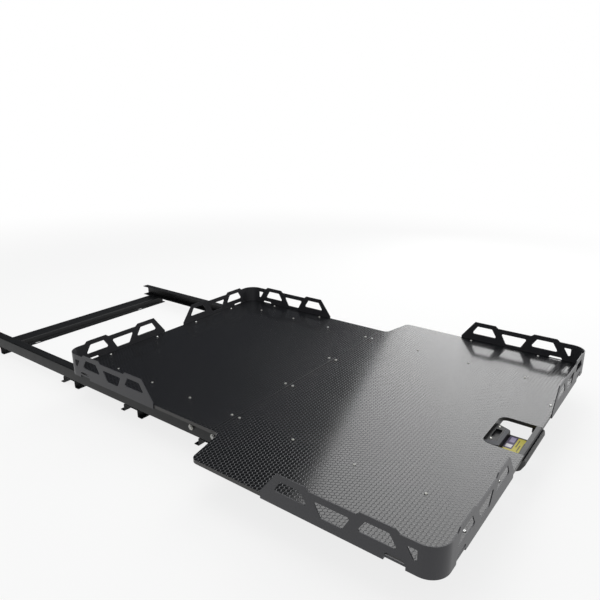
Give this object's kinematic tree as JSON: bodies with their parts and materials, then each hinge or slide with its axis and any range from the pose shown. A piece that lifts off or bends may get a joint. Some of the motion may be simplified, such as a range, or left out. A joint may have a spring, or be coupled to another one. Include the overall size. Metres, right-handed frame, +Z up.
{
  "type": "truck bed slide",
  "caption": "Sliding load tray for a truck bed: T-shaped plywood deck with low corner rails on runners, rollers and a low floor frame, with a hand latch at the front edge.",
  "frame": {"origin": "middle of the floor frame's underside, at the middle of the four floor fixing slots", "axes": "+X across the truck, +Y along the travel towards the cab, +Z up"},
  "size_m": [1.326, 2.3291, 0.204],
  "materials": {
    "deck_film": "satin",
    "black_powder_coat": "satin",
    "zinc_plate": "satin",
    "galvanised_steel": "satin",
    "rubber": "matte",
    "black_nylon": "matte",
    "label_film": "gloss",
    "bare_steel": "satin"
  },
  "bodies": {
    "floor_frame": {"base_rail_left": "black_powder_coat", "base_rail_right": "black_powder_coat", "front_cross_member": "black_powder_coat", "middle_cross_member": "black_powder_coat", "lock_cross_member": "black_powder_coat", "rear_cross_member": "black_powder_coat", "striker_lugs": "galvanised_steel", "stop_brackets": "galvanised_steel", "stop_buffers": "rubber", "base_axle_bolts": "zinc_plate", "base_axle_spacers": "zinc_plate", "base_axle_nuts": "zinc_plate"},
    "tray": {"deck_front_panel": "deck_film", "deck_rear_panel": "deck_film", "front_rail_left": "black_powder_coat", "cab_rail_left": "black_powder_coat", "front_rail_right": "black_powder_coat", "cab_rail_right": "black_powder_coat", "deck_screws": "zinc_plate", "rail_screws": "zinc_plate", "rail_nuts": "zinc_plate", "front_bearer_1": "black_powder_coat", "front_bearer_2": "black_powder_coat", "front_bearer_3": "black_powder_coat", "rear_bearer_1": "black_powder_coat", "rear_bearer_2": "black_powder_coat", "rear_bearer_3": "black_powder_coat", "seam_bearer": "black_powder_coat", "bearer_end_caps": "black_nylon", "tray_runner_left": "black_powder_coat", "tray_runner_right": "black_powder_coat", "stop_lugs": "galvanised_steel", "tray_axle_bolts": "zinc_plate", "tray_axle_spacers": "zinc_plate", "tray_axle_nuts": "zinc_plate", "latch_plate": "black_powder_coat", "latch_housing": "black_nylon", "pull_handle": "black_powder_coat", "lever_pin": "zinc_plate", "pawl_bracket": "galvanised_steel", "pawl_pin": "zinc_plate", "rod_guides": "black_nylon", "latch_label": "label_film", "housing_screws": "zinc_plate", "lock_spring": "zinc_plate"},
    "lever": {"release_lever": "black_powder_coat"},
    "rod": {"pull_rod": "galvanised_steel", "rod_pin_front": "zinc_plate", "rod_pin_back": "zinc_plate"},
    "pawl": {"lock_pawl": "galvanised_steel"},
    "base_roller_left_front_body": {"base_roller_left_front": "bare_steel"},
    "base_roller_left_back_body": {"base_roller_left_back": "bare_steel"},
    "base_roller_right_front_body": {"base_roller_right_front": "bare_steel"},
    "base_roller_right_back_body": {"base_roller_right_back": "bare_steel"},
    "tray_roller_left_front_body": {"tray_roller_left_front": "bare_steel"},
    "tray_roller_left_back_body": {"tray_roller_left_back": "bare_steel"},
    "tray_roller_right_front_body": {"tray_roller_right_front": "bare_steel"},
    "tray_roller_right_back_body": {"tray_roller_right_back": "bare_steel"}
  },
  "joints": [
    {"name": "tray_slide", "type": "slide", "parent": "floor_frame", "child": "tray", "axis": [0, 1, 0], "range_m": [0, 0.78]},
    {"name": "base_roller_left_front_spin", "type": "hinge", "parent": "floor_frame", "child": "base_roller_left_front_body", "pos_m": [-0.412, -0.715, 0.0637], "axis": [1, 0, 0], "continuous": true},
    {"name": "base_roller_left_back_spin", "type": "hinge", "parent": "floor_frame", "child": "base_roller_left_back_body", "pos_m": [-0.412, -0.615, 0.0637], "axis": [1, 0, 0], "continuous": true},
    {"name": "base_roller_right_front_spin", "type": "hinge", "parent": "floor_frame", "child": "base_roller_right_front_body", "pos_m": [0.412, -0.715, 0.0637], "axis": [1, 0, 0], "continuous": true},
    {"name": "base_roller_right_back_spin", "type": "hinge", "parent": "floor_frame", "child": "base_roller_right_back_body", "pos_m": [0.412, -0.615, 0.0637], "axis": [1, 0, 0], "continuous": true},
    {"name": "tray_roller_left_front_spin", "type": "hinge", "parent": "tray", "child": "tray_roller_left_front_body", "pos_m": [-0.45, -0.17, 0.0557], "axis": [1, 0, 0], "continuous": true},
    {"name": "tray_roller_left_back_spin", "type": "hinge", "parent": "tray", "child": "tray_roller_left_back_body", "pos_m": [-0.45, -0.07, 0.0557], "axis": [1, 0, 0], "continuous": true},
    {"name": "tray_roller_right_front_spin", "type": "hinge", "parent": "tray", "child": "tray_roller_right_front_body", "pos_m": [0.45, -0.17, 0.0557], "axis": [1, 0, 0], "continuous": true},
    {"name": "tray_roller_right_back_spin", "type": "hinge", "parent": "tray", "child": "tray_roller_right_back_body", "pos_m": [0.45, -0.07, 0.0557], "axis": [1, 0, 0], "continuous": true},
    {"name": "lever_pivot", "type": "hinge", "parent": "tray", "child": "lever", "pos_m": [0, -1.528, 0.077], "axis": [1, 0, 0], "range_deg": [0, 6.4]},
    {"name": "rod_slide", "type": "slide", "parent": "tray", "child": "rod", "axis": [0, 1, 0], "range_m": [0, 0.0028]},
    {"name": "pawl_pivot", "type": "hinge", "parent": "tray", "child": "pawl", "pos_m": [0, -0.57775, 0.072], "axis": [1, 0, 0], "range_deg": [0, 8.01]}
  ],
  "couplings": [
    {"joint": "base_roller_left_front_spin", "follows": "tray_slide", "rad_per_m": -47.619},
    {"joint": "base_roller_left_back_spin", "follows": "tray_slide", "rad_per_m": -47.619},
    {"joint": "base_roller_right_front_spin", "follows": "tray_slide", "rad_per_m": -47.619},
    {"joint": "base_roller_right_back_spin", "follows": "tray_slide", "rad_per_m": -47.619},
    {"joint": "tray_roller_left_front_spin", "follows": "tray_slide", "rad_per_m": 47.619},
    {"joint": "tray_roller_left_back_spin", "follows": "tray_slide", "rad_per_m": 47.619},
    {"joint": "tray_roller_right_front_spin", "follows": "tray_slide", "rad_per_m": 47.619},
    {"joint": "tray_roller_right_back_spin", "follows": "tray_slide", "rad_per_m": 47.619},
    {"joint": "rod_slide", "follows": "lever_pivot", "m_per_rad": 0.025},
    {"joint": "pawl_pivot", "follows": "lever_pivot", "ratio": 1.25}
  ]
}
